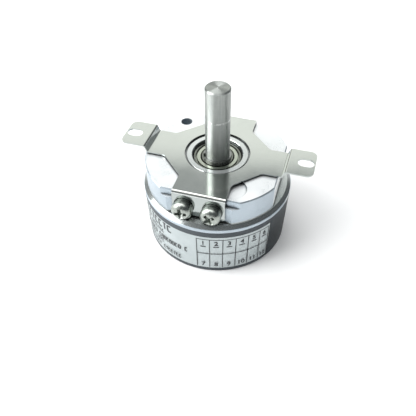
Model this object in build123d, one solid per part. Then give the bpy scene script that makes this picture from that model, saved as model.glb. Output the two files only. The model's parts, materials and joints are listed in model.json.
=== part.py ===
"""Rotary encoder with a solid shaft, a spring tether and a glass code disc.

Units are millimetres. +Z runs along the shaft towards its free end, and the origin is the centre of the
cover's flat rear face. +X runs along the tether's right arm, and +Y points to the connector.
"""

import os
from math import pi, sin, cos, radians

from build123d import *

# Overall sizes
BODY_R = 20.0
COVER_H = 15.8  # cover's height, where the housing's rim starts
SHAFT_R = 3.175
SHAFT_TOP = 44.6
SHAFT_REAR = 7.3

# Housing
RIM_T = 0.9
RIM_CONE = 0.9  # height of the slanted edge between rim and block
BLOCK_R = 19.0
BLOCK_TOP = 24.6
LEDGE_Z = 22.6  # the front and rear flats are wider above this height
FLAT_Y = 16.05  # front and rear flats of the upper layer
PAD_Y = 16.8  # front and rear pads below them, where the tether's lugs sit
PAD_HALF = 7.0
PAD_CORNER = (8.5, 17.05)  # outer corner of the slant beside each pad
FLAT_X = 17.0  # the one flat on the +X side
HUB_R = 8.1
HUB_TOP = 24.9
MOUTH_R = 6.7  # counterbore over the front bearing
HUB_TUBE_R = 8.6
HUB_TUBE_LOW = 10.7
SPIGOT_R = 18.9
SPIGOT_LOW = 13.8
CORE_IN, CORE_OUT, CORE_TOP = 9.8, 14.0, 18.4
FACE_POCKET = (7.15, -11.7)
FACE_POCKET_R = 3.55
FACE_POCKET_DEPTH = 0.5
FACE_HOLE = (-12.4, 11.6)
FACE_HOLE_R = 1.6
FACE_HOLE_DEPTH = 5.4

# Ball bearings, 6.35 x 12.7 x 4.76
BEARING_R = 6.35
BEARING_W = 4.76
FRONT_BEARING_FACE = 24.1
REAR_BEARING_FACE = 16.0
SHOULDER_LOW = 16.6
SHOULDER_R = 5.9
INNER_RING_R = 4.15
OUTER_RING_LAND_R = 5.5
SHIELD_SEAT_R = 5.8
SHIELD_SEAT_DEPTH = 0.7
PITCH_R = 4.78
BALL_R = 0.95
RACE_R = 1.0
BALL_COUNT = 7
CAGE_HALF_H = 1.2

# Tether
SHEET_T = 0.35
TETHER_LOW = HUB_TOP
TETHER_TOP = TETHER_LOW + SHEET_T
TETHER_HOLE_R = 8.6
DIAGONAL = 17.9  # |x| + |y| on the slanted edges
ARM_HALF = 4.85
ARM_JOG_X = 17.9
ARM_JOG_RUN = 0.7
ARM_JOG_RISE = 1.7
EAR_END_X = 25.4
EAR_SLOT_X = 23.0
EAR_SLOT_LENGTH = 4.2
EAR_SLOT_WIDTH = 2.9
LUG_HALF = 6.75
LUG_LOW = 18.2
BEND_R = 0.4

# Screws that hold the tether
SCREW_XS = (-3.95, 3.4)  # as seen from the front, on the front lug
SCREW_Z = 20.3
SCREW_HEAD_R = 2.65
SCREW_HEAD_H = 1.9
SPRING_WASHER_R = 2.5
SPRING_WASHER_T = 0.6
SCREW_R = 1.45
SCREW_HOLE_R = 1.5
SCREW_LENGTH = 5.0
LUG_HOLE_R = 1.7

# Cover and label
COVER_DRAFT = 0.45  # how much the cover's radius shrinks towards its floor
COVER_WALL = 1.0
COVER_FLOOR = 1.4
LABEL_LOW, LABEL_HIGH = 1.4, 14.0
LABEL_T = 0.1
LABEL_FROM, LABEL_TO = -205.0, -31.0

# Circuit board and its posts
BOARD_LOW, BOARD_TOP = 5.6, 6.6
BOARD_R = 17.6
POST_PITCH_R = 15.8
POST_ANGLES = (45, 135, 225, 315)
POST_R = 1.6
POST_STUD_R = 1.0
COVER_SCREW_HEAD_R = 1.9

# Code disc and light path
DISC_R = 13.0
DISC_LOW, DISC_TOP = 7.9, 8.5
TRACK_IN, TRACK_OUT, TRACK_T = 10.4, 12.6, 0.05
TRACK_WINDOWS = 72
OPTICS_R = 11.6
LENS_R = 1.9
LED_R = 1.5
LED_LOW, LED_TOP = 10.6, 14.4
LED_LEAD_Y = (-0.64, 0.64)

# Connector
CONNECTOR_HALF = 7.3
CONNECTOR_BACK, CONNECTOR_MOUTH = 13.4, 18.3
CONNECTOR_TOP = 13.6
PIN_PITCH = 2.0
PIN_COLUMNS = 6
PIN_SIZE = 0.5
PIN_ROWS = ((9.1, 14.1), (11.1, 13.7))  # height of a row and the y of its tails

BOTTOM = (Align.CENTER, Align.CENTER, Align.MIN)


def rod(radius, low, high):
    """Upright cylinder between two heights."""
    return Pos(0, 0, low) * Cylinder(radius, high - low, align=BOTTOM)


def tube(outer, inner, low, high):
    """Upright ring between two heights."""
    return rod(outer, low, high) - rod(inner, low - 1, high + 1)


def block(x0, x1, y0, y1, z0, z1):
    """Box from its two corners."""
    centre = Pos((x0 + x1) / 2, (y0 + y1) / 2, (z0 + z1) / 2)
    return centre * Box(x1 - x0, y1 - y0, z1 - z0)


def turned(*points):
    """Solid of revolution about Z from (radius, height) points."""
    return revolve(Plane.XZ * make_face(Polyline(*points, close=True)), Axis.Z)


def around(shape, radius, angles):
    """Copies of a shape on a circle about Z."""
    return [Rot(0, 0, angle) * Pos(radius, 0, 0) * shape for angle in angles]


def both_sides(shape):
    """A shape and its copy turned half round the shaft."""
    return [shape, Rot(0, 0, 180) * shape]


def block_outline():
    """Housing block seen from above: round, with two lug pads and one side flat."""
    outline = Circle(BLOCK_R) - Pos(FLAT_X + 10, 0) * Rectangle(20, 60)
    far = BODY_R + 5
    corner_x, corner_y = PAD_CORNER
    cut = make_face(
        Polyline(
            (-PAD_HALF, -PAD_Y),
            (PAD_HALF, -PAD_Y),
            (corner_x, -corner_y),
            (corner_x, -far),
            (-corner_x, -far),
            (-corner_x, -corner_y),
            close=True,
        )
    )
    for side in both_sides(cut):
        outline -= side
    return outline


def top_outline():
    """Upper layer of the block: its flats run the whole way across."""
    outline = Circle(BLOCK_R) - Pos(FLAT_X + 10, 0) * Rectangle(20, 60)
    cut = Pos(0, -FLAT_Y - 10) * Rectangle(60, 20)
    for side in both_sides(cut):
        outline -= side
    return outline


def tether_screw_bore(radius, length):
    """Round bores from the front pad inwards, at both screws."""
    bore = Rot(90, 0, 0) * Cylinder(radius, length)
    return [Pos(x, -PAD_Y + length / 2 - 0.5, SCREW_Z) * bore for x in SCREW_XS]


def core_pockets():
    """Hollows cast under the block, with ribs between them and a broad rib over the LED."""
    ring = tube(CORE_OUT, CORE_IN, COVER_H - 1, CORE_TOP)
    rib = block(CORE_IN - 2, CORE_OUT + 2, -0.9, 0.9, COVER_H - 2, CORE_TOP + 1)
    for copy in around(rib, 0, POST_ANGLES):
        ring -= copy
    return ring - block(CORE_IN - 2, CORE_OUT + 2, -4, 4, COVER_H - 2, CORE_TOP + 1)


def flange_housing():
    edge = 0.25
    top = extrude(top_outline(), BLOCK_TOP - LEDGE_Z)
    top = chamfer(top.edges().group_by(Axis.Z)[-1], edge)
    top = Pos(0, 0, LEDGE_Z) * top
    rim_top = COVER_H + RIM_T + RIM_CONE
    low = Pos(0, 0, rim_top) * extrude(block_outline(), LEDGE_Z - rim_top)
    rim = turned(
        (HUB_R, COVER_H),
        (BODY_R, COVER_H),
        (BODY_R, COVER_H + RIM_T),
        (BLOCK_R, rim_top),
        (HUB_R, rim_top),
    )
    body = top + low + rim + tube(SPIGOT_R, BOARD_R, SPIGOT_LOW, COVER_H + 0.5)
    body -= rod(HUB_R - 0.2, COVER_H - 2, BLOCK_TOP + 1)
    body += turned(
        (BEARING_R, HUB_TUBE_LOW),
        (BEARING_R, SHOULDER_LOW),
        (SHOULDER_R, SHOULDER_LOW),
        (SHOULDER_R, FRONT_BEARING_FACE - BEARING_W),
        (BEARING_R, FRONT_BEARING_FACE - BEARING_W),
        (BEARING_R, FRONT_BEARING_FACE - 0.4),
        (BEARING_R + 0.2, FRONT_BEARING_FACE - 0.4),
        (BEARING_R + 0.2, FRONT_BEARING_FACE),
        (MOUTH_R, FRONT_BEARING_FACE),
        (MOUTH_R, HUB_TOP - 0.1),
        (MOUTH_R + 0.1, HUB_TOP),
        (HUB_R - 0.1, HUB_TOP),
        (HUB_R, HUB_TOP - 0.1),
        (HUB_R, COVER_H + 1),
        (HUB_TUBE_R, COVER_H + 1),
        (HUB_TUBE_R, HUB_TUBE_LOW),
    )
    body -= core_pockets()
    pocket = rod(FACE_POCKET_R, BLOCK_TOP - FACE_POCKET_DEPTH, BLOCK_TOP + 1)
    body -= Pos(*FACE_POCKET, 0) * pocket
    hole = rod(FACE_HOLE_R, BLOCK_TOP - FACE_HOLE_DEPTH, BLOCK_TOP + 1)
    body -= Pos(*FACE_HOLE, 0) * hole
    for bore in tether_screw_bore(SCREW_HOLE_R, SCREW_LENGTH + 1):
        for side in both_sides(bore):
            body -= side
    stud = rod(POST_STUD_R + 0.02, COVER_H - 1, COVER_H + 2.1)
    for copy in around(stud, POST_PITCH_R, POST_ANGLES):
        body -= copy
    return body


def tether_plan():
    """Flat middle of the tether seen from above: a cross with slanted edges."""
    arm_x = DIAGONAL - ARM_HALF
    lug_y = DIAGONAL - LUG_HALF
    corners = []
    for sx, sy in ((1, -1), (1, 1), (-1, 1), (-1, -1)):
        quarter = [
            (sx * LUG_HALF, sy * (PAD_Y - BEND_R)),
            (sx * LUG_HALF, sy * lug_y),
            (sx * arm_x, sy * ARM_HALF),
            (sx * ARM_JOG_X, sy * ARM_HALF),
        ]
        corners += quarter if sx * sy < 0 else quarter[::-1]
    plan = make_face(Polyline(*corners, close=True))
    inner = [
        v
        for v in plan.vertices()
        if abs(abs(v.X) + abs(v.Y) - DIAGONAL) < 0.01
    ]
    return fillet(inner, 1.8)


def tether_ear():
    """Raised end of an arm on the +X side, with its jog and its slotted hole."""
    middle = TETHER_LOW + SHEET_T / 2
    path = FilletPolyline(
        (ARM_JOG_X - 1, 0, middle),
        (ARM_JOG_X, 0, middle),
        (ARM_JOG_X + ARM_JOG_RUN, 0, middle + ARM_JOG_RISE),
        (EAR_END_X, 0, middle + ARM_JOG_RISE),
        radius=0.35,
    )
    strip = extrude(trace_xz(path), ARM_HALF, both=True)
    outline = extrude(RectangleRounded(2 * EAR_END_X, 2 * ARM_HALF, 1.8), 60)
    slot = extrude(SlotOverall(EAR_SLOT_LENGTH, EAR_SLOT_WIDTH), 60)
    return (strip & outline) - Pos(EAR_SLOT_X, 0, 0) * slot


def trace_xz(path):
    """Section of a bent sheet in the XZ plane, from its middle line."""
    flat = [Plane.XZ.to_local_coords(edge) for edge in path.edges()]
    return Plane.XZ * trace(flat, line_width=SHEET_T)


def tether_lug():
    """Front lug: a quarter bend and a plate that hangs over the housing's pad."""
    outer = BEND_R + SHEET_T
    quarter = (Circle(outer) - Circle(BEND_R)) & Pos(outer / 2, outer / 2) * Rectangle(outer, outer)
    bend = extrude(quarter, LUG_HALF, both=True)
    bend = Rot(0, 0, -90) * Rot(90, 0, 0) * bend
    bend = Pos(0, -PAD_Y + BEND_R, TETHER_LOW - BEND_R) * bend
    face_y = -PAD_Y - SHEET_T
    height = TETHER_LOW - BEND_R - LUG_LOW
    plate = extrude(Rectangle(2 * LUG_HALF, height), SHEET_T)
    low = plate.edges().filter_by(Axis.Z).group_by(Axis.Y)[0]
    plate = fillet(low, 1.0)
    plate = Pos(0, face_y + SHEET_T, LUG_LOW + height / 2) * Rot(90, 0, 0) * plate
    neck = block(-LUG_HALF, LUG_HALF, -PAD_Y + BEND_R, -PAD_Y + 1.5, TETHER_LOW, TETHER_TOP)
    lug = bend + plate + neck
    for x in SCREW_XS:
        lug -= Pos(x, face_y, SCREW_Z) * Rot(90, 0, 0) * Cylinder(LUG_HOLE_R, 4)
    return lug


def spring_tether():
    sheet = Pos(0, 0, TETHER_LOW) * extrude(tether_plan(), SHEET_T)
    for lug in both_sides(tether_lug()):
        sheet += lug
    for ear in both_sides(tether_ear()):
        sheet += ear
    return sheet - rod(TETHER_HOLE_R, TETHER_LOW - 1, TETHER_TOP + 1)


def cross_recess(radius, depth):
    """Cross driver recess with slanted arms, cut down from z = 0."""
    width = 0.55 * radius
    cross = Rectangle(3 * radius, width) + Rectangle(width, 3 * radius) + Circle(0.48 * radius)
    prism = Pos(0, 0, -depth) * extrude(cross, depth + 1)
    cone = turned((0, -depth), (radius * 0.35, -depth), (radius, 0), (radius, 1), (0, 1))
    return prism & cone


def star_recess(radius, depth):
    """Six-lobed driver recess, cut down from z = 0."""
    shape = Circle(radius * 0.78)
    for k in range(6):
        angle = radians(60 * k)
        shape += Pos(radius * 0.8 * cos(angle), radius * 0.8 * sin(angle)) * Circle(radius * 0.26)
    return Pos(0, 0, -depth) * extrude(shape, depth + 1)


def pan_screw(turn):
    """Screw with a domed pan head and its recess turned, seated at z = 0 with its shank down."""
    rim = (SCREW_HEAD_R, SCREW_HEAD_H * 0.4)
    shoulder = (SCREW_HEAD_R * 0.8, SCREW_HEAD_H * 0.82)
    crown = (SCREW_HEAD_R * 0.3, SCREW_HEAD_H)
    outline = [
        Line((0, 0), (SCREW_HEAD_R, 0)),
        Line((SCREW_HEAD_R, 0), rim),
        ThreePointArc(rim, shoulder, crown),
        Line(crown, (0, SCREW_HEAD_H)),
        Line((0, SCREW_HEAD_H), (0, 0)),
    ]
    head = revolve(Plane.XZ * make_face(outline), Axis.Z)
    head -= Pos(0, 0, SCREW_HEAD_H) * Rot(0, 0, turn) * cross_recess(1.65, 1.4)
    shank = turned(
        (0, 0.1),
        (SCREW_R, 0.1),
        (SCREW_R, -SCREW_LENGTH + 0.3),
        (SCREW_R - 0.3, -SCREW_LENGTH),
        (0, -SCREW_LENGTH),
    )
    return head + shank


def on_lugs(shapes, lift):
    """Two shapes at the lug's screws, their +Z turned outwards and lifted off it, on both lugs."""
    seat_y = -PAD_Y - SHEET_T - lift
    places = [Pos(x, seat_y, SCREW_Z) * Rot(90, 0, 0) for x in SCREW_XS]
    pair = [place * shape for place, shape in zip(places, shapes)]
    return pair + [Rot(0, 0, 180) * copy for copy in pair]


def tether_screws():
    return on_lugs([pan_screw(8), pan_screw(40)], SPRING_WASHER_T)


def tether_spring_washers():
    """Split spring washers under the screw heads."""
    ring = tube(SPRING_WASHER_R, SCREW_R + 0.1, 0, SPRING_WASHER_T)
    split = Rot(20, 0, 0) * block(0, 4, -0.15, 0.15, -2, 3)
    washer = ring - split
    return on_lugs([Rot(0, 0, 40) * washer, Rot(0, 0, -70) * washer], 0)


def raceway(face):
    return Pos(0, 0, face - BEARING_W / 2) * Torus(PITCH_R, RACE_R)


def bearing_inner_ring(face):
    ring = turned(
        (SHAFT_R, face - BEARING_W + 0.1),
        (SHAFT_R + 0.1, face - BEARING_W),
        (INNER_RING_R, face - BEARING_W),
        (INNER_RING_R, face),
        (SHAFT_R + 0.1, face),
        (SHAFT_R, face - 0.1),
    )
    return ring - raceway(face)


def bearing_outer_ring(face):
    back = face - BEARING_W
    ring = turned(
        (OUTER_RING_LAND_R, back + SHIELD_SEAT_DEPTH),
        (SHIELD_SEAT_R, back + SHIELD_SEAT_DEPTH),
        (SHIELD_SEAT_R, back),
        (BEARING_R - 0.15, back),
        (BEARING_R, back + 0.15),
        (BEARING_R, face - 0.15),
        (BEARING_R - 0.15, face),
        (SHIELD_SEAT_R, face),
        (SHIELD_SEAT_R, face - SHIELD_SEAT_DEPTH),
        (OUTER_RING_LAND_R, face - SHIELD_SEAT_DEPTH),
    )
    return ring - raceway(face)


def bearing_shields(face):
    """Pressed sheet shields in both ends of the outer ring, with a crimped groove."""
    middle = face - BEARING_W / 2
    seat = BEARING_W / 2 - SHIELD_SEAT_DEPTH
    bore, bend = 4.5, 5.35
    upper = turned(
        (bore, seat + 0.6),
        (bend, seat + 0.6),
        (bend + 0.1, seat + 0.15),
        (SHIELD_SEAT_R, seat + 0.15),
        (SHIELD_SEAT_R, seat),
        (bend, seat),
        (bend - 0.1, seat + 0.4),
        (bore, seat + 0.4),
    )
    return [Pos(0, 0, middle) * upper, Pos(0, 0, middle) * Rot(180, 0, 0) * upper]


def bearing_balls(face):
    ball = Pos(PITCH_R, 0, face - BEARING_W / 2) * Sphere(BALL_R)
    step = 360 / BALL_COUNT
    return [Rot(0, 0, k * step) * ball for k in range(BALL_COUNT)]


def bearing_cage(face):
    """Ribbon that keeps the balls apart, with a round pocket for each."""
    middle = face - BEARING_W / 2
    ribbon = tube(PITCH_R + 0.22, PITCH_R - 0.22, middle - CAGE_HALF_H, middle + CAGE_HALF_H)
    pocket = Pos(PITCH_R, 0, middle) * Rot(0, 90, 0) * Cylinder(BALL_R + 0.04, 2)
    step = 360 / BALL_COUNT
    for k in range(BALL_COUNT):
        ribbon -= Rot(0, 0, k * step) * pocket
    return ribbon


def preload_wave_washer():
    """Thin spring ring with three waves between the housing's shoulder and the rear bearing."""
    thick, swing, waves, steps = 0.15, 0.2, 3, 12
    radius = (SHOULDER_R + BEARING_R) / 2 - 0.02
    middle = (SHOULDER_LOW + REAR_BEARING_FACE) / 2
    points = []
    for k in range(steps + 1):
        turn = 2 * pi / waves * k / steps
        points.append((radius * cos(turn), radius * sin(turn), middle + swing * sin(waves * turn)))
    slope = waves * swing / radius
    across = 2 * pi / waves
    tangents = [(0, 1, slope), (-sin(across), cos(across), slope)]
    path = Spline(*points, tangents=tangents)
    start = Plane(origin=path @ 0, x_dir=(1, 0, 0), z_dir=path % 0)
    upright = Edge.make_line((0, 0, 0), (0, 0, 1))
    wave = sweep(start * Rectangle(0.44, thick), path=path, binormal=upright)
    ring = wave
    for k in range(1, waves):
        ring += Rot(0, 0, k * 360 / waves) * wave
    return ring


def inner_spacer():
    return tube(INNER_RING_R - 0.15, SHAFT_R, REAR_BEARING_FACE, FRONT_BEARING_FACE - BEARING_W)


def shaft():
    groove_low, groove_high = FRONT_BEARING_FACE, FRONT_BEARING_FACE + 0.65
    return turned(
        (0, SHAFT_REAR),
        (SHAFT_R - 0.3, SHAFT_REAR),
        (SHAFT_R, SHAFT_REAR + 0.3),
        (SHAFT_R, groove_low),
        (SHAFT_R - 0.25, groove_low),
        (SHAFT_R - 0.25, groove_high),
        (SHAFT_R, groove_high),
        (SHAFT_R, SHAFT_TOP - 0.3),
        (SHAFT_R - 0.3, SHAFT_TOP),
        (0, SHAFT_TOP),
    )


def retaining_ring():
    """Open ring snapped into the shaft's groove in front of the front bearing."""
    low = FRONT_BEARING_FACE
    ring = tube(SHAFT_R + 0.5, SHAFT_R - 0.25, low, low + 0.6)
    gap = block(-5, 0, -0.8, 0.8, low - 1, low + 2)
    return ring - Rot(0, 0, 25) * gap


def disc_hub():
    low = DISC_TOP
    return turned(
        (SHAFT_R, low),
        (6.4, low),
        (6.6, low + 0.2),
        (6.6, low + 1.0),
        (INNER_RING_R - 0.1, low + 1.2),
        (INNER_RING_R - 0.1, REAR_BEARING_FACE - BEARING_W),
        (SHAFT_R, REAR_BEARING_FACE - BEARING_W),
    )


def code_disc():
    return tube(DISC_R, SHAFT_R + 0.1, DISC_LOW, DISC_TOP)


def code_track():
    """Chrome ring under the glass with one row of windows and one index window."""
    low = DISC_LOW - TRACK_T
    ring = Circle(TRACK_OUT) - Circle(TRACK_IN)
    middle = (TRACK_IN + TRACK_OUT) / 2
    window = Pos(middle + 0.35, 0) * Rectangle(1.1, 0.5)
    for k in range(TRACK_WINDOWS):
        ring -= Rot(0, 0, k * 360 / TRACK_WINDOWS) * window
    ring -= Pos(TRACK_IN + 0.45, 0) * Rectangle(0.5, 0.5)
    return Pos(0, 0, low) * extrude(ring, TRACK_T)


def led_holder():
    """Block under the housing that holds the LED and its lens over the disc."""
    low = DISC_TOP + 0.6
    body = block(9.2, 14.0, -3, 3, low, COVER_H)
    body -= Pos(OPTICS_R, 0, 0) * rod(LED_R + 0.05, LED_LOW, COVER_H + 1)
    body -= Pos(OPTICS_R, 0, 0) * rod(LENS_R, low - 1, low + 1.2)
    body -= Pos(OPTICS_R, 0, 0) * rod(1.2, low, LED_LOW + 0.5)
    for y in LED_LEAD_Y:
        body -= block(OPTICS_R, 14.5, y - 0.3, y + 0.3, LED_TOP, COVER_H + 1)
    return body


def led():
    """Lamp with a domed end that points down at the disc."""
    neck = LED_LOW + 1.7
    lamp = Pos(0, 0, neck) * Sphere(LED_R) + rod(LED_R, neck, LED_TOP)
    return Pos(OPTICS_R, 0, 0) * lamp


def led_leads():
    """Two wires from the lamp, out past the disc and down through the board."""
    wire = 0.4
    half = wire / 2
    out = 15.2
    top = LED_TOP + 0.7
    leads = []
    for y in LED_LEAD_Y:
        rise = block(OPTICS_R - half, OPTICS_R + half, y - half, y + half, LED_TOP, top)
        run = block(OPTICS_R - half, out + half, y - half, y + half, top - wire, top)
        drop = block(out - half, out + half, y - half, y + half, BOARD_LOW - 0.6, top)
        leads.append(rise + run + drop)
    return leads


def condenser_lens():
    """Plano-convex lens in the holder's lower bore."""
    low = DISC_TOP + 0.9
    sphere = Pos(0, 0, low + 2.6) * Sphere(2.8)
    lens = rod(LENS_R, low, low + 0.9) & sphere
    return Pos(OPTICS_R, 0, 0) * lens


def sensor_chip():
    return Pos(OPTICS_R, 0, BOARD_TOP) * Box(5.4, 6.4, 0.6, align=BOTTOM)


def reticle():
    """Small glass plate with a slit window over the sensor."""
    plate = Pos(OPTICS_R, 0, BOARD_TOP + 0.6) * Box(4.0, 4.8, 0.35, align=BOTTOM)
    return plate - Pos(OPTICS_R, 0, 0) * block(-0.9, 0.9, -1.2, 1.2, BOARD_TOP, BOARD_TOP + 0.7)


def circuit_board():
    board = rod(BOARD_R, BOARD_LOW, BOARD_TOP)
    for copy in around(rod(POST_STUD_R + 0.1, 0, 10), POST_PITCH_R, POST_ANGLES):
        board -= copy
    for y in LED_LEAD_Y:
        board -= block(14.9, 15.5, y - 0.3, y + 0.3, 0, 10)
    for pin in pin_tails(0.1):
        board -= pin
    return board


def board_standoffs():
    """Round posts between housing and board, with a stud at the top and a bore at the foot."""
    post = rod(POST_R, BOARD_TOP, COVER_H) + rod(POST_STUD_R, COVER_H - 0.5, COVER_H + 2)
    post -= rod(POST_STUD_R + 0.02, BOARD_TOP - 1, BOARD_TOP + 2.6)
    return around(post, POST_PITCH_R, POST_ANGLES)


def cover_standoffs():
    """Round posts between board and cover, whose studs pass up through the board."""
    post = rod(POST_R, COVER_FLOOR, BOARD_LOW) + rod(POST_STUD_R, BOARD_LOW - 0.5, BOARD_TOP + 2.5)
    post -= rod(POST_STUD_R - 0.15, 0, COVER_FLOOR + 2.6)
    return around(post, POST_PITCH_R, POST_ANGLES)


def cover_screws():
    """Countersunk screws, flush with the cover's rear face."""
    cone_top = 1.1
    screw = turned(
        (0, 0.05),
        (COVER_SCREW_HEAD_R - 0.05, 0.05),
        (POST_STUD_R - 0.2, cone_top),
        (POST_STUD_R - 0.2, COVER_FLOOR + 2.4),
        (0, COVER_FLOOR + 2.4),
    )
    recess = Rot(180, 0, 0) * star_recess(0.8, 0.6)
    return around(screw - recess, POST_PITCH_R, POST_ANGLES)


def connector_window():
    """Notch in the cover's wall, open at the top so that the cover slides on."""
    half = CONNECTOR_HALF + 0.25
    return block(-half, half, CONNECTOR_BACK + 2, BODY_R + 2, BOARD_TOP - 0.25, COVER_H + 1)


def cover_radius(z):
    """Outer radius of the cover, which narrows towards its floor."""
    return BODY_R - COVER_DRAFT * (COVER_H - z) / COVER_H


def label_band(inset, proud):
    """Band of the cover's surface between the label's two ends."""
    low, high = cover_radius(LABEL_LOW), cover_radius(LABEL_HIGH)
    band = turned(
        (low - inset, LABEL_LOW),
        (low + proud, LABEL_LOW),
        (high + proud, LABEL_HIGH),
        (high - inset, LABEL_HIGH),
    )
    far = 2 * BODY_R
    half = block(-far, far, 0, far, 0, COVER_H)
    return band & (Rot(0, 0, LABEL_FROM) * half) & (Rot(0, 0, LABEL_TO - 180) * half)


def cover():
    """Cap over the electronics, with a shallow seat for the label."""
    foot = cover_radius(0)
    cap = turned(
        (0, 0),
        (foot - 0.35, 0),
        (foot - 0.1, 0.1),
        (foot, 0.35),
        (BODY_R, COVER_H - 0.15),
        (BODY_R - 0.15, COVER_H),
        (BODY_R - COVER_WALL, COVER_H),
        (foot - COVER_WALL, COVER_FLOOR),
        (0, COVER_FLOOR),
    )
    cap -= connector_window()
    cap -= label_band(LABEL_T, 1)
    sink = turned(
        (0, -0.5),
        (COVER_SCREW_HEAD_R + 0.5, -0.5),
        (POST_STUD_R - 0.1, 1.15),
        (POST_STUD_R - 0.1, COVER_FLOOR + 0.5),
        (0, COVER_FLOOR + 0.5),
    )
    for copy in around(sink, POST_PITCH_R, POST_ANGLES):
        cap -= copy
    return cap


def label():
    return label_band(LABEL_T, 0)


def pin_columns():
    first = -(PIN_COLUMNS - 1) / 2 * PIN_PITCH
    return [first + k * PIN_PITCH for k in range(PIN_COLUMNS)]


def pin_tails(room):
    """Upright ends of the contact pins, grown by some room for the holes round them."""
    half = PIN_SIZE / 2 + room
    tails = []
    for x in pin_columns():
        for row_z, tail_y in PIN_ROWS:
            tails.append(block(x - half, x + half, tail_y - half, tail_y + half, BOARD_LOW - 0.6, row_z))
    return tails


def connector_pins():
    """Two rows of bent square pins."""
    half = PIN_SIZE / 2
    return [pin_at(x, row_z, tail_y, half) for x in pin_columns() for row_z, tail_y in PIN_ROWS]


def pin_at(x, row_z, tail_y, half):
    run = block(x - half, x + half, tail_y - half, 17.2, row_z - half, row_z + half)
    return run + block(x - half, x + half, tail_y - half, tail_y + half, BOARD_LOW - 0.6, row_z + half)


def connector_shell():
    """Open-fronted box on the board that a plug goes into."""
    half = CONNECTOR_HALF
    shell = block(-half, half, CONNECTOR_BACK, CONNECTOR_MOUTH, BOARD_TOP, CONNECTOR_TOP)
    shell -= block(-half + 0.8, half - 0.8, 14.6, 19, BOARD_TOP + 0.8, CONNECTOR_TOP - 0.8)
    shell -= block(-1.5, 1.5, 15.4, 19, CONNECTOR_TOP - 1, CONNECTOR_TOP + 1)
    for pin in connector_pins():
        shell -= pin
    return shell


def gull_wing_chip(length, width, height, leads):
    """Chip body with bent leads on its two long sides, standing on z = 0."""
    body = Pos(0, 0, 0.1) * Box(length, width, height - 0.1, align=BOTTOM)
    body = chamfer(body.edges().group_by(Axis.Z)[-1], 0.2)
    pitch = length / leads
    for k in range(leads):
        x = (k - (leads - 1) / 2) * pitch
        for side in (-1, 1):
            knee = width / 2 + 0.5
            run = block(x - 0.18, x + 0.18, width / 2 - 0.3, knee, height * 0.45, height * 0.45 + 0.2)
            drop = block(x - 0.18, x + 0.18, knee - 0.2, knee, 0, height * 0.45 + 0.2)
            foot = block(x - 0.18, x + 0.18, knee - 0.2, knee + 0.5, 0, 0.2)
            lead = run + drop + foot
            body += lead if side > 0 else Rot(0, 0, 180) * lead
    return body


def under_board(shape, x, y, turn=0):
    """Turns a shape upside down onto the board's lower face."""
    return Pos(x, y, BOARD_LOW) * Rot(180, 0, turn) * shape


def line_driver_chip():
    return under_board(gull_wing_chip(9.9, 4.0, 1.6, 8), -2.0, -1.5)


def voltage_regulator():
    return under_board(gull_wing_chip(4.5, 2.5, 1.4, 3), 8.6, 5.6, 90)


def capacitors():
    """Two tantalum blocks with end caps."""
    can = Box(3.5, 2.8, 1.8, align=BOTTOM)
    can = chamfer(can.edges().group_by(Axis.Z)[-1], 0.3)
    return [under_board(can, -9.5, 5.0, 90), under_board(can, 8.6, -6.0)]


def resistors():
    """Row of small chip resistors."""
    chip = Box(1.6, 0.8, 0.45, align=BOTTOM)
    return [under_board(chip, -6.0 + 2.4 * k, -8.5, 90) for k in range(6)]


FRONT, REAR = FRONT_BEARING_FACE, REAR_BEARING_FACE

NODES = {
    "flange_housing": flange_housing(),
    "spring_tether": spring_tether(),
    "tether_screws": tether_screws(),
    "tether_spring_washers": tether_spring_washers(),
    "shaft": shaft(),
    "retaining_ring": retaining_ring(),
    "front_bearing_inner_ring": bearing_inner_ring(FRONT),
    "front_bearing_outer_ring": bearing_outer_ring(FRONT),
    "front_bearing_shields": bearing_shields(FRONT),
    "front_bearing_balls": bearing_balls(FRONT),
    "front_bearing_cage": bearing_cage(FRONT),
    "rear_bearing_inner_ring": bearing_inner_ring(REAR),
    "rear_bearing_outer_ring": bearing_outer_ring(REAR),
    "rear_bearing_shields": bearing_shields(REAR),
    "rear_bearing_balls": bearing_balls(REAR),
    "rear_bearing_cage": bearing_cage(REAR),
    "preload_wave_washer": preload_wave_washer(),
    "inner_spacer": inner_spacer(),
    "disc_hub": disc_hub(),
    "code_disc": code_disc(),
    "code_track": code_track(),
    "led_holder": led_holder(),
    "led": led(),
    "led_leads": led_leads(),
    "condenser_lens": condenser_lens(),
    "sensor_chip": sensor_chip(),
    "reticle": reticle(),
    "circuit_board": circuit_board(),
    "line_driver_chip": line_driver_chip(),
    "voltage_regulator": voltage_regulator(),
    "capacitors": capacitors(),
    "resistors": resistors(),
    "board_standoffs": board_standoffs(),
    "cover_standoffs": cover_standoffs(),
    "cover_screws": cover_screws(),
    "connector_shell": connector_shell(),
    "connector_pins": connector_pins(),
    "cover": cover(),
    "label": label(),
}

os.makedirs("parts", exist_ok=True)
for name, made in NODES.items():
    solid = Compound(made) if isinstance(made, list) else made
    export_step(solid, f"parts/{name}.step")
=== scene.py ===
"""Looks of a rotary encoder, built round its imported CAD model.

Lengths are metres unless a name says MM. Angles are degrees.
"""

import json
import math

import bmesh
import bpy
from mathutils import Matrix, Vector


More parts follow.
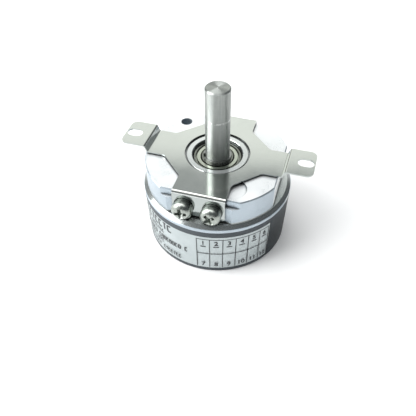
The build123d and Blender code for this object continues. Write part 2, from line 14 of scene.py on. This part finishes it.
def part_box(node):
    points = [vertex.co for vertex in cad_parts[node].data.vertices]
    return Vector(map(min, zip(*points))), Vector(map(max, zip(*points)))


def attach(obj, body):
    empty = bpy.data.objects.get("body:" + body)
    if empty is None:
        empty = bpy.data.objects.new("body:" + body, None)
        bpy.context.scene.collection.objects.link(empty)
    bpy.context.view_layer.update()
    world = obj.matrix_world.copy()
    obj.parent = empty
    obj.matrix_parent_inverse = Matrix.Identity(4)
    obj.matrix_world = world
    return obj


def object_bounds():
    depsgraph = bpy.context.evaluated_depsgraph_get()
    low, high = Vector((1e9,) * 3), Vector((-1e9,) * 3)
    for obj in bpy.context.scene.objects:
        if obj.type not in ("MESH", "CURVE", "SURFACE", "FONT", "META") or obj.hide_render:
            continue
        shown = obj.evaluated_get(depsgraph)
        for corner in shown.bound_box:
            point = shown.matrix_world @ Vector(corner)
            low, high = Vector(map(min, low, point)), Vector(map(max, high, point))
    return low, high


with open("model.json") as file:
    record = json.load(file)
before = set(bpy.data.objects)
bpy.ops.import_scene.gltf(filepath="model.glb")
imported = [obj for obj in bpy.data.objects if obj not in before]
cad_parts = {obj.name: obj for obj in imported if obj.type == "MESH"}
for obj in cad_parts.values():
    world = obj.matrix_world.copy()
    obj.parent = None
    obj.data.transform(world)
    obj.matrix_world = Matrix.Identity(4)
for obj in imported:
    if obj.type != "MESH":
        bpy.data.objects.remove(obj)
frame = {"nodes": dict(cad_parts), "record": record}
CAD_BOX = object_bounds()
NODES = frame["nodes"]
MM = 0.001


def lowest(node):
    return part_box(node)[0]


def highest(node):
    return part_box(node)[1]


# Camera
CAMERA_AZIMUTH = 16.775  # from the front, towards +X
CAMERA_ELEVATION = 45.79
CAMERA_ROLL = -0.367
CAMERA_TARGET_MM = (0.0, -6.07, 10.07)
CAMERA_DISTANCE_MM = 130.96
CAMERA_LENS_MM = 41.02
CAMERA_SHIFT = (-0.0077, 0.0014)

# Surroundings
FLOOR_HALF = 1.5
LIGHT_AIM_HEIGHT = 0.02
ROOM_BRIGHT_AZIMUTH, ROOM_BRIGHT_ELEVATION = 150.0, 15.0
ROOM_BRIGHT = (0.42, 0.44, 0.445)
ROOM_DARK = (0.07, 0.08, 0.09)

# Bright ring on the shaft, left by a clamp's edge
CLAMP_MARK_MM = highest("shaft").z / MM - 8.4
CLAMP_MARK_HALF_MM = 0.25

# Places on the housing with a finish of their own, some also with painted shade: heights, then
# radii
RIM_MM = highest("cover").z / MM + 0.95  # top of the rim's upright edge
STEP_MM = RIM_MM + 1.15  # just above the step between rim and block
HUB_MM = 8.3  # just outside the hub ring
BORE_MM = 6.68  # just outside the bore over the front bearing
BORE_SHADE_RING_TURN = 18.0  # radians per millimetre up the bore wall, for its painted dark rings that stand in for shaded grooves

# Print on the label
PRINT_LIFT = 0.02 * MM
PRINT_STEP = 0.8 * MM  # longest straight piece of a wrapped stroke

# The label's table has two rows of six cells
LABEL_LOW, LABEL_HIGH = lowest("label").z, highest("label").z
TABLE_LOW = LABEL_LOW + 0.4 * MM
TABLE_HIGH = LABEL_HIGH - 0.9 * MM
TABLE_MIDDLE = (TABLE_LOW + TABLE_HIGH) / 2
TABLE_FROM, TABLE_TO = -89.5, -32.0
TABLE_COLUMNS = 6
CELL = 9.8  # the last cell is narrower and ends at TABLE_TO
TABLE_EDGES = [TABLE_FROM + column * CELL for column in range(TABLE_COLUMNS)] + [TABLE_TO]
RULE_WIDTH = 0.22 * MM
DIGIT_HEIGHT = 1.5 * MM
UPPER_DIGITS = TABLE_HIGH - 1.5 * MM
LOWER_DIGITS = TABLE_LOW + 1.2 * MM
DASH_HALF = CELL * 0.22
DASH_HEIGHT = UPPER_DIGITS - 1.3 * MM
DASH_WIDTH = 0.3 * MM

# Rows of generic strokes. A sign is a few strokes in a unit square, as x0, z0, x1, z1.
SIGNS = (
    ((0, 0, 0, 1), (0, 1, 1, 1), (0, 0, 1, 0)),
    ((0, 0, 0, 1), (1, 0, 1, 1), (0, 0.5, 1, 0.5)),
    ((0.5, 0, 0.5, 1), (0, 1, 1, 1)),
    ((0, 0, 0, 1), (0, 0, 1, 0)),
    ((0, 0, 0, 1), (1, 0, 1, 1), (0, 0, 1, 0), (0, 1, 1, 1)),
    ((0, 0, 0, 1), (0, 1, 1, 1), (0, 0.5, 1, 0.5)),
)
TEXT_ROWS = (  # first and last angle, then in millimetres the row's foot and its signs' height
    (-160, -109.5, 11.2, 2.2),
    (-160, -119, 9.1, 1.1),
    (-160, -96.5, 6.6, 1.3),
    (-160, -120, 4.9, 1.0),
    (-160, -102.5, 2.7, 1.2),
)
SIGN_WIDTH, SIGN_PITCH, SIGN_WEIGHT = 0.5, 0.78, 0.24  # as shares of a sign's height


# ---------------------------------------------------------------- materials

WAVE_RINGS = 3.18  # circles that a ring wave of scale 1 has in a unit
NOISE_LOW, NOISE_HIGH = 0.3, 0.7  # where nearly all of a noise's values lie


class Material:
    """Node material with short calls for the nodes that it uses."""

    def __init__(self, name):
        self.data = bpy.data.materials.new(name)
        self.data.use_nodes = True
        self.tree = self.data.node_tree
        self.bsdf = self.tree.nodes["Principled BSDF"]
        self.place = None

    def node(self, kind, **values):
        made = self.tree.nodes.new(kind)
        for key, value in values.items():
            setattr(made, key, value)
        return made

    def link(self, out, into):
        self.tree.links.new(out, into)

    def set(self, **values):
        """Values of the shader's own sockets; an underscore stands for a space."""
        for key, value in values.items():
            self.bsdf.inputs[key.replace("_", " ")].default_value = value

    def position(self):
        """Place in the part's own frame."""
        if self.place is None:
            self.place = self.node("ShaderNodeTexCoord").outputs["Object"]
        return self.place

    def stretched(self, scale):
        mapping = self.node("ShaderNodeMapping")
        mapping.inputs["Scale"].default_value = scale
        self.link(self.position(), mapping.inputs["Vector"])
        return mapping.outputs["Vector"]

    def noise(self, per_mm, detail=3.0, stretch=(1, 1, 1)):
        """Noise with about per_mm features in a millimetre, stretched along the axes."""
        noise = self.node("ShaderNodeTexNoise")
        noise.inputs["Scale"].default_value = per_mm / MM
        noise.inputs["Detail"].default_value = detail
        noise.inputs["Roughness"].default_value = 0.55
        self.link(self.stretched(stretch), noise.inputs["Vector"])
        return noise.outputs["Fac"]

    def rings(self, per_mm, distortion=0.0):
        """Fine circles about the shaft's axis."""
        wave = self.node("ShaderNodeTexWave", wave_type="RINGS", rings_direction="Z")
        wave.inputs["Scale"].default_value = per_mm / MM / WAVE_RINGS
        wave.inputs["Distortion"].default_value = distortion
        wave.inputs["Detail"].default_value = 2.0
        self.link(self.position(), wave.inputs["Vector"])
        return wave.outputs["Fac"]

    def math(self, operation, *values):
        made = self.node("ShaderNodeMath", operation=operation)
        for k, value in enumerate(values):
            if isinstance(value, (int, float)):
                made.inputs[k].default_value = value
            else:
                self.link(value, made.inputs[k])
        return made.outputs[0]

    def remap(self, value, low, high, to_low, to_high):
        made = self.node("ShaderNodeMapRange")
        made.inputs["From Min"].default_value = low
        made.inputs["From Max"].default_value = high
        made.inputs["To Min"].default_value = to_low
        made.inputs["To Max"].default_value = to_high
        self.link(value, made.inputs["Value"])
        return made.outputs["Result"]

    def colours(self, value, *stops):
        """Colour ramp from (position, (r, g, b)) stops."""
        ramp = self.node("ShaderNodeValToRGB")
        elements = ramp.color_ramp.elements
        while len(elements) < len(stops):
            elements.new(0.5)
        for element, (position, colour) in zip(elements, stops):
            element.position = position
            element.color = (*colour, 1)
        self.link(value, ramp.inputs["Fac"])
        return ramp.outputs["Color"]

    def mottled(self, noise, dark, light):
        """Colour between two tones that follows a noise."""
        return self.colours(noise, (NOISE_LOW, dark), (NOISE_HIGH, light))

    def varied(self, noise, low, high):
        """Value between two limits that follows a noise."""
        return self.remap(noise, NOISE_LOW, NOISE_HIGH, low, high)

    def above(self, value, edge, blur):
        """0 up to an edge, and 1 from a little above it."""
        return self.remap(value, edge, edge + blur, 0, 1)

    def below(self, value, edge, blur):
        """1 up to an edge, and 0 from a little above it."""
        return self.remap(value, edge, edge + blur, 1, 0)

    def mix(self, factor, first, second, blend="MIX"):
        made = self.node("ShaderNodeMix", data_type="RGBA", blend_type=blend)
        if isinstance(factor, (int, float)):
            made.inputs["Factor"].default_value = factor
        else:
            self.link(factor, made.inputs["Factor"])
        for name, value in (("A", first), ("B", second)):
            socket = [s for s in made.inputs if s.name == name and s.type == "RGBA"][0]
            if isinstance(value, tuple):
                socket.default_value = (*value, 1)
            else:
                self.link(value, socket)
        return [s for s in made.outputs if s.type == "RGBA"][0]

    def colour(self, value):
        self.link(value, self.bsdf.inputs["Base Color"])

    def roughness(self, value):
        self.link(value, self.bsdf.inputs["Roughness"])

    def bump(self, *heights):
        """Bumps from (height, depth in mm) pairs, one over the other."""
        last = None
        for height, depth in heights:
            bump = self.node("ShaderNodeBump")
            bump.inputs["Strength"].default_value = 1.0
            bump.inputs["Distance"].default_value = depth * MM
            self.link(height, bump.inputs["Height"])
            if last:
                self.link(last, bump.inputs["Normal"])
            last = bump.outputs["Normal"]
        self.link(last, self.bsdf.inputs["Normal"])

    def height_mm(self):
        """Height above the floor in millimetres."""
        split = self.node("ShaderNodeSeparateXYZ")
        self.link(self.position(), split.inputs[0])
        return self.math("DIVIDE", split.outputs["Z"], MM)

    def radius_mm(self):
        """Distance from the shaft's axis in millimetres."""
        across = self.node("ShaderNodeVectorMath", operation="LENGTH")
        self.link(self.stretched((1, 1, 0)), across.inputs[0])
        return self.math("DIVIDE", across.outputs["Value"], MM)

    def facing(self, axis):
        """How far the surface turns towards an axis, from -1 to 1."""
        split = self.node("ShaderNodeSeparateXYZ")
        self.link(self.node("ShaderNodeNewGeometry").outputs["Normal"], split.inputs[0])
        return split.outputs[axis]

    def shaded(self, tone, reach_mm, darkest, closed=0.25):
        """A tone with painted shade: it falls towards a dark share of itself in corners and narrow
        gaps.
        """
        around = self.node("ShaderNodeAmbientOcclusion", samples=8)
        around.inputs["Distance"].default_value = reach_mm * MM
        painted_shade = self.remap(around.outputs["AO"], closed, 0.85, darkest, 1)
        return self.mix(1.0, tone, painted_shade, "MULTIPLY")

    def outer_edges(self):
        """1 along outer edges, 0 on open faces."""
        pointed = self.node("ShaderNodeNewGeometry").outputs["Pointiness"]
        return self.above(pointed, 0.5, 0.05)

    def brushed_round(self, amount):
        """Highlights drawn out across marks that run round the shaft's axis."""
        tangent = self.node("ShaderNodeTangent", direction_type="RADIAL", axis="Z")
        self.set(Anisotropic=amount, Anisotropic_Rotation=0.25)
        self.link(tangent.outputs["Tangent"], self.bsdf.inputs["Tangent"])


def housing_metal():
    """Machined aluminium with a smoother step and hub ring, and painted light and shade in its
    tones: pale tops, darker bluer flanks, a lighter +X flat, dark step slopes, dark bore rings and
    dark gaps.
    """
    m = Material("machined_aluminium")
    m.set(Metallic=0.8)
    rings = m.rings(5.0, distortion=0.6)
    grain = m.noise(9.0, 4.0)
    cloud = m.noise(0.18, 3.0)

    # masks, from 0 to 1: which way a face points, its height, its radius
    up = m.above(m.facing("Z"), 0.75, 0.2)
    level = m.above(m.facing("Z"), 0.9, 0.09)
    right_flat = m.above(m.facing("X"), 0.97, 0.02)
    under_step = m.below(m.height_mm(), STEP_MM, 0.4)
    step = m.math("MULTIPLY", under_step, m.above(m.height_mm(), RIM_MM, 0.1))
    hub = m.below(m.radius_mm(), HUB_MM, 0.3)
    bore = m.math("MULTIPLY", hub, m.below(m.radius_mm(), BORE_MM, 0.1))

    # painted light and shade: faces that point up are pale as if lit, flanks darker and bluer as if
    # shaded, and the flat facing +X lighter as if lit
    face = m.mottled(cloud, (0.90, 0.925, 0.94), (0.95, 0.965, 0.975))
    flank = m.mottled(cloud, (0.37, 0.435, 0.485), (0.43, 0.495, 0.545))
    flank = m.mix(right_flat, flank, (0.93, 0.95, 0.94))
    tone = m.mix(up, flank, face)
    # painted shade on the step: its sloped faces dark, its level faces pale
    tone = m.mix(step, tone, m.mix(level, (0.30, 0.32, 0.31), (0.84, 0.88, 0.86)))
    tone = m.mix(hub, tone, (0.66, 0.69, 0.68))
    # painted shade: dark rings up the bore wall in place of shaded grooves
    waves = m.math("SINE", m.math("MULTIPLY", m.height_mm(), BORE_SHADE_RING_TURN))
    painted_ring_factor = m.remap(waves, -0.4, 0.4, 0, 1)
    painted_groove_shade = m.colours(painted_ring_factor, (0.0, (0.12, 0.13, 0.12)), (1.0, (0.60, 0.64, 0.62)))
    tone = m.mix(bore, tone, painted_groove_shade)
    tone = m.mix(m.remap(grain, 0.35, 0.7, 0.0, 0.22), tone, (0.70, 0.74, 0.78))
    # painted shade: strong darkening in corners and narrow gaps, as under the tether's edges
    m.colour(m.shaded(tone, 1.1, 0.08, 0.4))

    rough = m.math("ADD", m.varied(cloud, 0.27, 0.36), m.varied(grain, -0.03, 0.05))
    rough = m.math("MULTIPLY", rough, m.remap(hub, 0, 1, 1, 0.4))
    rough = m.math("MULTIPLY", rough, m.remap(step, 0, 1, 1, 0.5))
    m.roughness(m.math("MAXIMUM", rough, m.remap(right_flat, 0, 1, 0, 0.6)))
    m.bump((rings, 0.0012), (grain, 0.0014))
    return m.data


def tether_steel():
    """Cold-rolled stainless sheet: a soft mirror with a fine grain along the strip, and painted
    light and shade by slope and in gaps.
    """
    m = Material("rolled_stainless")
    m.set(Metallic=1.0)
    grain = m.noise(3.0, 4.0, (0.25, 5.0, 5.0))
    cloud = m.noise(0.12, 3.0)

    # masks by slope, for painted light and shade: each one also takes in all that is steeper
    bend_or_steeper = m.below(m.facing("Z"), 0.9, 0.09)
    jog_or_steeper = m.below(m.facing("Z"), 0.65, 0.07)
    upright = m.below(m.facing("Z"), 0.15, 0.15)

    tone = m.mottled(cloud, (0.60, 0.63, 0.60), (0.665, 0.695, 0.665))
    tone = m.mix(m.remap(grain, 0.35, 0.7, 0.0, 0.2), tone, (0.53, 0.555, 0.53))
    # painted shade: bends darker, dimming the bright band along their curve
    tone = m.mix(bend_or_steeper, tone, (0.27, 0.275, 0.255))
    # painted light: jogs lighter
    tone = m.mix(jog_or_steeper, tone, (0.80, 0.83, 0.80))
    # painted shade: upright faces, such as the lug, darker
    tone = m.mix(upright, tone, (0.41, 0.44, 0.43))
    # painted shade in corners and narrow gaps
    m.colour(m.shaded(tone, 0.4, 0.65))
    m.roughness(m.math("ADD", m.varied(cloud, 0.1, 0.15), m.varied(grain, -0.02, 0.03)))
    m.bump((grain, 0.0006))
    return m.data


def screw_metal():
    """Nickel-plated screws with soft wear, and painted shade in recesses and where they meet other
    parts.
    """
    m = Material("nickel_plate")
    m.set(Metallic=1.0)
    spots = m.noise(1.6, 5.0)
    tone = m.colours(spots, (0.3, (0.28, 0.305, 0.28)), (0.62, (0.42, 0.45, 0.415)))
    m.colour(m.shaded(tone, 0.8, 0.12))
    m.roughness(m.varied(spots, 0.25, 0.36))
    m.bump((spots, 0.001))
    return m.data


def shaft_steel():
    """Ground steel: fine marks round the shaft, and a faint ring where a clamp sat."""
    m = Material("ground_steel")
    m.set(Metallic=1.0)
    marks = m.noise(2.0, 4.0, (0.3, 0.3, 9.0))
    cloud = m.noise(0.5, 3.0)
    streaks = m.noise(2.2, 3.0, (1, 1, 0.05))
    tone = m.mottled(marks, (0.33, 0.35, 0.335), (0.40, 0.42, 0.405))
    tone = m.mix(m.remap(streaks, 0.5, 0.7, 0.0, 0.5), tone, (0.50, 0.52, 0.50))
    tone = m.mix(m.remap(cloud, 0.4, 0.75, 0.0, 0.3), tone, (0.46, 0.48, 0.46))
    clamped = m.math("COMPARE", m.height_mm(), CLAMP_MARK_MM, CLAMP_MARK_HALF_MM)
    patchy = m.math("MULTIPLY", clamped, m.remap(m.noise(1.1, 2.0), 0.42, 0.52, 0.0, 0.6))
    m.colour(m.mix(patchy, tone, (0.80, 0.82, 0.80)))
    m.roughness(m.varied(marks, 0.33, 0.4))
    m.bump((marks, 0.0015), (m.rings(4.0), 0.002))
    m.brushed_round(0.92)
    return m.data


def plain_metal(name, dark, light, rough, grain_per_mm=3.0, depth=0.002):
    """Small metal part with a mottled tone and a fine grain."""
    m = Material(name)
    m.set(Metallic=1.0)
    grain = m.noise(grain_per_mm, 4.0)
    m.colour(m.mottled(grain, dark, light))
    m.roughness(m.varied(grain, rough - 0.04, rough + 0.06))
    m.bump((grain, depth))
    return m.data


def turned_metal(name, dark, light, rough):
    """Bearing part with fine turned circles, and painted shade in corners and narrow gaps."""
    m = Material(name)
    m.set(Metallic=1.0)
    rings = m.rings(6.0)
    grain = m.noise(2.0, 3.0)
    tone = m.mottled(grain, dark, light)
    m.colour(m.shaded(tone, 0.5, 0.12))
    m.roughness(m.varied(grain, rough - 0.03, rough + 0.05))
    m.bump((rings, 0.0015))
    return m.data


def cover_coat():
    """Dark blue-grey satin coat with a fine texture."""
    m = Material("dark_coat")
    grain = m.noise(7.0, 5.0)
    cloud = m.noise(0.15, 3.0)
    tone = m.mottled(cloud, (0.012, 0.017, 0.02), (0.019, 0.026, 0.03))
    # edges mixed lighter than the faces
    m.colour(m.mix(m.math("MULTIPLY", m.outer_edges(), 0.4), tone, (0.16, 0.18, 0.2)))
    m.roughness(m.varied(grain, 0.46, 0.6))
    m.set(Specular_IOR_Level=0.22)
    m.bump((grain, 0.006))
    return m.data


def label_foil():
    """Silver polyester foil: satin, with a faint long grain."""
    m = Material("silver_foil")
    grain = m.noise(2.5, 4.0, (1, 1, 6.0))
    cloud = m.noise(0.2, 2.0)
    tone = m.mottled(cloud, (0.45, 0.50, 0.505), (0.51, 0.56, 0.565))
    m.colour(m.mix(m.remap(grain, 0.4, 0.7, 0.0, 0.2), tone, (0.5, 0.54, 0.56)))
    m.set(Metallic=0.6)
    m.roughness(m.varied(grain, 0.34, 0.44))
    m.bump((grain, 0.001))
    return m.data


def moulded(name, dark, light, rough, grain_per_mm=5.0):
    """Moulded plastic or resin with a fine grain."""
    m = Material(name)
    grain = m.noise(grain_per_mm, 4.0)
    m.colour(m.mottled(grain, dark, light))
    m.roughness(m.varied(grain, rough - 0.05, rough + 0.07))
    m.bump((grain, 0.003))
    return m.data


def clear(name, colour, rough):
    """Glass or clear resin, with a trace of haze."""
    m = Material(name)
    haze = m.noise(0.6, 3.0)
    m.set(Base_Color=(*colour, 1), Transmission_Weight=0.9, IOR=1.5)
    m.roughness(m.varied(haze, rough, rough + 0.05))
    return m.data


MATERIALS = {
    "housing": housing_metal(),
    "tether": tether_steel(),
    "screws": screw_metal(),
    "shaft": shaft_steel(),
    "dark_steel": plain_metal("dark_spring_steel", (0.30, 0.31, 0.30), (0.40, 0.41, 0.40), 0.28),
    "bearing_steel": turned_metal("bearing_steel", (0.20, 0.215, 0.19), (0.29, 0.305, 0.275), 0.18),
    "shield_steel": turned_metal("shield_steel", (0.52, 0.56, 0.48), (0.62, 0.66, 0.57), 0.2),
    "cage_steel": plain_metal("cage_steel", (0.42, 0.41, 0.38), (0.55, 0.54, 0.50), 0.3),
    "hub": turned_metal("turned_brass", (0.62, 0.46, 0.20), (0.74, 0.58, 0.29), 0.25),
    "disc_glass": clear("disc_glass", (0.90, 0.95, 0.94), 0.02),
    "chrome_track": plain_metal(
        "chrome_film", (0.28, 0.29, 0.30), (0.36, 0.37, 0.38), 0.1, grain_per_mm=8.0, depth=0.0005
    ),
    "black_plastic": moulded("black_plastic", (0.016, 0.016, 0.017), (0.03, 0.03, 0.032), 0.45),
    "led_resin": clear("led_resin", (0.85, 0.90, 0.95), 0.05),
    "leads": plain_metal("tinned_wire", (0.60, 0.59, 0.56), (0.74, 0.73, 0.70), 0.25),
    "lens": clear("lens_glass", (0.97, 0.98, 0.98), 0.01),
    "chip": moulded("chip_epoxy", (0.02, 0.02, 0.022), (0.045, 0.045, 0.05), 0.55, 8.0),
    "board": moulded("solder_mask", (0.008, 0.12, 0.045), (0.015, 0.17, 0.07), 0.28, 1.2),
    "capacitor": moulded("capacitor_resin", (0.55, 0.32, 0.05), (0.72, 0.44, 0.08), 0.4),
    "standoff": turned_metal("plated_brass", (0.62, 0.57, 0.46), (0.76, 0.71, 0.60), 0.25),
    "connector": moulded("natural_nylon", (0.62, 0.58, 0.47), (0.74, 0.70, 0.58), 0.42),
    "gold": plain_metal("gold_flash", (0.72, 0.52, 0.18), (0.86, 0.66, 0.28), 0.22),
    "cover": cover_coat(),
    "label": label_foil(),
}


def dress_nodes():
    """Gives every CAD node the material of its slot in the record."""
    for part in frame["record"]["subparts"]:
        mesh = NODES[part["node"]].data
        mesh.materials.clear()
        mesh.materials.append(MATERIALS[part["material_slot"]])


# ---------------------------------------------------------------- print on the label


def print_ink():
    """Dark ink that is a little uneven."""
    m = Material("label_ink")
    spread = m.noise(3.0, 4.0)
    m.colour(m.mottled(spread, (0.02, 0.023, 0.027), (0.05, 0.055, 0.06)))
    m.roughness(m.varied(spread, 0.4, 0.55))
    m.bump((spread, 0.002))
    return m.data


def label_radii():
    """The foil's outer radius at its lower and upper edge."""
    low, high = 0.0, 0.0
    for vertex in NODES["label"].data.vertices:
        radius = math.hypot(vertex.co.x, vertex.co.y)
        if vertex.co.z < (LABEL_LOW + LABEL_HIGH) / 2:
            low = max(low, radius)
        else:
            high = max(high, radius)
    return low, high


LABEL_RADIUS_LOW, LABEL_RADIUS_HIGH = label_radii()


def on_label(angle, z):
    """Point just over the foil at an angle and a height."""
    share = (z - LABEL_LOW) / (LABEL_HIGH - LABEL_LOW)
    radius = LABEL_RADIUS_LOW + share * (LABEL_RADIUS_HIGH - LABEL_RADIUS_LOW) + PRINT_LIFT
    turn = math.radians(angle)
    return Vector((radius * math.cos(turn), radius * math.sin(turn), z))


def degrees_of(length):
    """Angle that an arc of this length takes on the foil."""
    return math.degrees(length / LABEL_RADIUS_HIGH)


class Print:
    """Flat shapes wrapped onto the label as one thin mesh."""

    def __init__(self, name):
        self.name = name
        self.mesh = bmesh.new()

    def bar(self, angle0, z0, angle1, z1, width):
        """Straight stroke in the unrolled label, from one point to another."""
        across = degrees_of(1.0)
        run = Vector(((angle1 - angle0) / across, z1 - z0))
        side = Vector((-run.y, run.x)).normalized() * width / 2
        steps = max(1, round(run.length / PRINT_STEP))
        last = None
        for k in range(steps + 1):
            share = k / steps
            angle = angle0 + share * (angle1 - angle0)
            z = z0 + share * (z1 - z0)
            pair = [
                self.mesh.verts.new(on_label(angle + sign * side.x * across, z + sign * side.y))
                for sign in (1, -1)
            ]
            if last:
                self.mesh.faces.new((last[0], last[1], pair[1], pair[0]))
            last = pair

    def numeral(self, text, angle, z):
        """Digits centred on a place of the label."""
        curve = bpy.data.curves.new(f"text_{text}", "FONT")
        curve.body = text
        curve.size = DIGIT_HEIGHT / 0.7  # the font's digits are 0.7 of its size
        curve.offset = DIGIT_HEIGHT * 0.03
        curve.align_x = "CENTER"
        curve.align_y = "CENTER"
        curve.resolution_u = 3
        letter = bpy.data.objects.new("letter", curve)
        bpy.context.scene.collection.objects.link(letter)
        bpy.context.view_layer.update()
        flat = bpy.data.meshes.new_from_object(letter)
        bpy.data.objects.remove(letter)
        bpy.data.curves.remove(curve)
        places = [on_label(angle + degrees_of(v.co.x), z + v.co.y) for v in flat.vertices]
        corners = [self.mesh.verts.new(place) for place in places]
        for face in flat.polygons:
            self.mesh.faces.new([corners[i] for i in face.vertices])
        bpy.data.meshes.remove(flat)

    def finish(self, material):
        bmesh.ops.recalc_face_normals(self.mesh, faces=self.mesh.faces[:])
        data = bpy.data.meshes.new(self.name)
        self.mesh.to_mesh(data)
        self.mesh.free()
        data.materials.append(material)
        made = bpy.data.objects.new(self.name, data)
        bpy.context.scene.collection.objects.link(made)
        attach(made, "housing")


def table_rules(ink):
    """Lines of the table: its top, middle and the upright ones between cells."""
    rules = Print("label_table_rules")
    for z in (TABLE_HIGH, TABLE_MIDDLE):
        rules.bar(TABLE_FROM, z, TABLE_TO, z, RULE_WIDTH)
    for angle in TABLE_EDGES:
        rules.bar(angle, TABLE_LOW, angle, TABLE_HIGH, RULE_WIDTH)
    rules.finish(ink)


def table_numerals(ink):
    """Contact numbers 1 to 12 in the cells, with a short dash under those of the upper row."""
    digits = Print("label_contact_numbers")
    for column in range(TABLE_COLUMNS):
        angle = (TABLE_EDGES[column] + TABLE_EDGES[column + 1]) / 2
        digits.numeral(str(column + 1), angle, UPPER_DIGITS)
        digits.bar(angle - DASH_HALF, DASH_HEIGHT, angle + DASH_HALF, DASH_HEIGHT, DASH_WIDTH)
        digits.numeral(str(column + 1 + TABLE_COLUMNS), angle, LOWER_DIGITS)
    digits.finish(ink)


def text_rows(ink):
    """Generic strokes, grouped like words, where a maker prints lines of text."""
    rows = Print("label_text_rows")
    for row, (start, stop, foot_mm, height_mm) in enumerate(TEXT_ROWS):
        foot, height = foot_mm * MM, height_mm * MM
        wide, pitch = degrees_of(height * SIGN_WIDTH), degrees_of(height * SIGN_PITCH)
        for k in range(int((stop - start) / pitch)):
            gap_between_words = row and (2 * k + 3 * row) % 9 == 8
            if gap_between_words:
                continue
            left = stop - (k + 1) * pitch
            for x0, z0, x1, z1 in SIGNS[(k * (k + row + 1)) % len(SIGNS)]:
                ends = (left + x0 * wide, foot + z0 * height, left + x1 * wide, foot + z1 * height)
                rows.bar(*ends, height * SIGN_WEIGHT)
    rows.finish(ink)


# ---------------------------------------------------------------- studio


def floor():
    """Wide pale floor."""
    m = Material("pale_floor")
    cloud = m.noise(0.01, 2.0)
    m.colour(m.mottled(cloud, (0.86, 0.86, 0.86), (0.89, 0.89, 0.89)))
    m.set(Emission_Color=(1, 1, 1, 1), Emission_Strength=0.04)
    m.roughness(m.varied(cloud, 0.85, 0.95))
    m.bump((cloud, 0.01))
    mesh = bpy.data.meshes.new("studio_floor")
    turns = ((-1, -1), (1, -1), (1, 1), (-1, 1))
    corners = [(x * FLOOR_HALF, y * FLOOR_HALF, 0) for x, y in turns]
    mesh.from_pydata(corners, [], [(0, 1, 2, 3)])
    mesh.materials.append(m.data)
    plane = bpy.data.objects.new("studio_floor", mesh)
    plane.location.z = CAD_BOX[0][2]
    bpy.context.scene.collection.objects.link(plane)


def direction(azimuth, elevation):
    """Unit vector; azimuth runs from +X towards +Y."""
    a, e = math.radians(azimuth), math.radians(elevation)
    return Vector((math.cos(a) * math.cos(e), math.sin(a) * math.cos(e), math.sin(e)))


def softbox(name, azimuth, elevation, distance, width, height, radiance, colour=(1, 1, 1)):
    """Area light that faces the object, with the brightness that a mirror would show."""
    lamp = bpy.data.lights.new(name, "AREA")
    lamp.shape = "RECTANGLE"
    lamp.size = width
    lamp.size_y = height
    lamp.energy = radiance * math.pi * width * height
    lamp.color = colour
    made = bpy.data.objects.new(name, lamp)
    towards = direction(azimuth, elevation)
    made.location = towards * distance + Vector((0, 0, LIGHT_AIM_HEIGHT))
    made.rotation_euler = (-towards).to_track_quat("-Z", "Y").to_euler()
    bpy.context.scene.collection.objects.link(made)


def world_light():
    """Pale surroundings on the left and behind, and a darker room to the right and in front."""
    world = bpy.data.worlds.new("studio")
    world.use_nodes = True
    tree = world.node_tree
    place = tree.nodes.new("ShaderNodeTexCoord")
    facing = tree.nodes.new("ShaderNodeVectorMath")
    facing.operation = "DOT_PRODUCT"
    facing.inputs[1].default_value = direction(ROOM_BRIGHT_AZIMUTH, ROOM_BRIGHT_ELEVATION)
    ramp = tree.nodes.new("ShaderNodeValToRGB")
    stops = ramp.color_ramp.elements
    stops[0].position, stops[0].color = 0.1, (*ROOM_DARK, 1)
    stops[1].position, stops[1].color = 0.85, (*ROOM_BRIGHT, 1)
    spread = tree.nodes.new("ShaderNodeMapRange")
    spread.inputs["From Min"].default_value = -1
    tree.links.new(place.outputs["Generated"], facing.inputs[0])
    tree.links.new(facing.outputs["Value"], spread.inputs["Value"])
    tree.links.new(spread.outputs["Result"], ramp.inputs["Fac"])
    tree.links.new(ramp.outputs["Color"], tree.nodes["Background"].inputs["Color"])
    bpy.context.scene.world = world


def camera():
    """Camera with a small roll and shift."""
    lens = bpy.data.cameras.new("camera")
    lens.lens = CAMERA_LENS_MM
    lens.sensor_width = 36
    lens.shift_x, lens.shift_y = CAMERA_SHIFT
    lens.clip_start = 0.005
    made = bpy.data.objects.new("camera", lens)
    towards = direction(CAMERA_AZIMUTH - 90, CAMERA_ELEVATION)
    made.location = Vector(CAMERA_TARGET_MM) * MM + towards * CAMERA_DISTANCE_MM * MM
    aim = (-towards).to_track_quat("-Z", "Y")
    roll = Matrix.Rotation(math.radians(CAMERA_ROLL), 4, "Z")
    made.matrix_world = Matrix.Translation(made.location) @ aim.to_matrix().to_4x4() @ roll
    bpy.context.scene.collection.objects.link(made)
    bpy.context.scene.camera = made


def lights():
    """Softboxes: azimuth, elevation, distance, width, height, radiance."""
    softbox("back_softbox", 100, 26.5, 0.9, 1.0, 0.46, 0.75, colour=(1, 1, 0.93))
    softbox("left_softbox", 203, 34, 0.8, 0.62, 0.9, 5.6)
    softbox("key_softbox", 140, 74, 0.8, 0.55, 0.55, 1.7)
    softbox("top_softbox", 0, 90, 0.9, 0.8, 0.8, 2.0)


dress_nodes()
label_ink = print_ink()
table_rules(label_ink)
table_numerals(label_ink)
text_rows(label_ink)
floor()
world_light()
lights()
camera()
bpy.context.scene.view_settings.view_transform = "Standard"
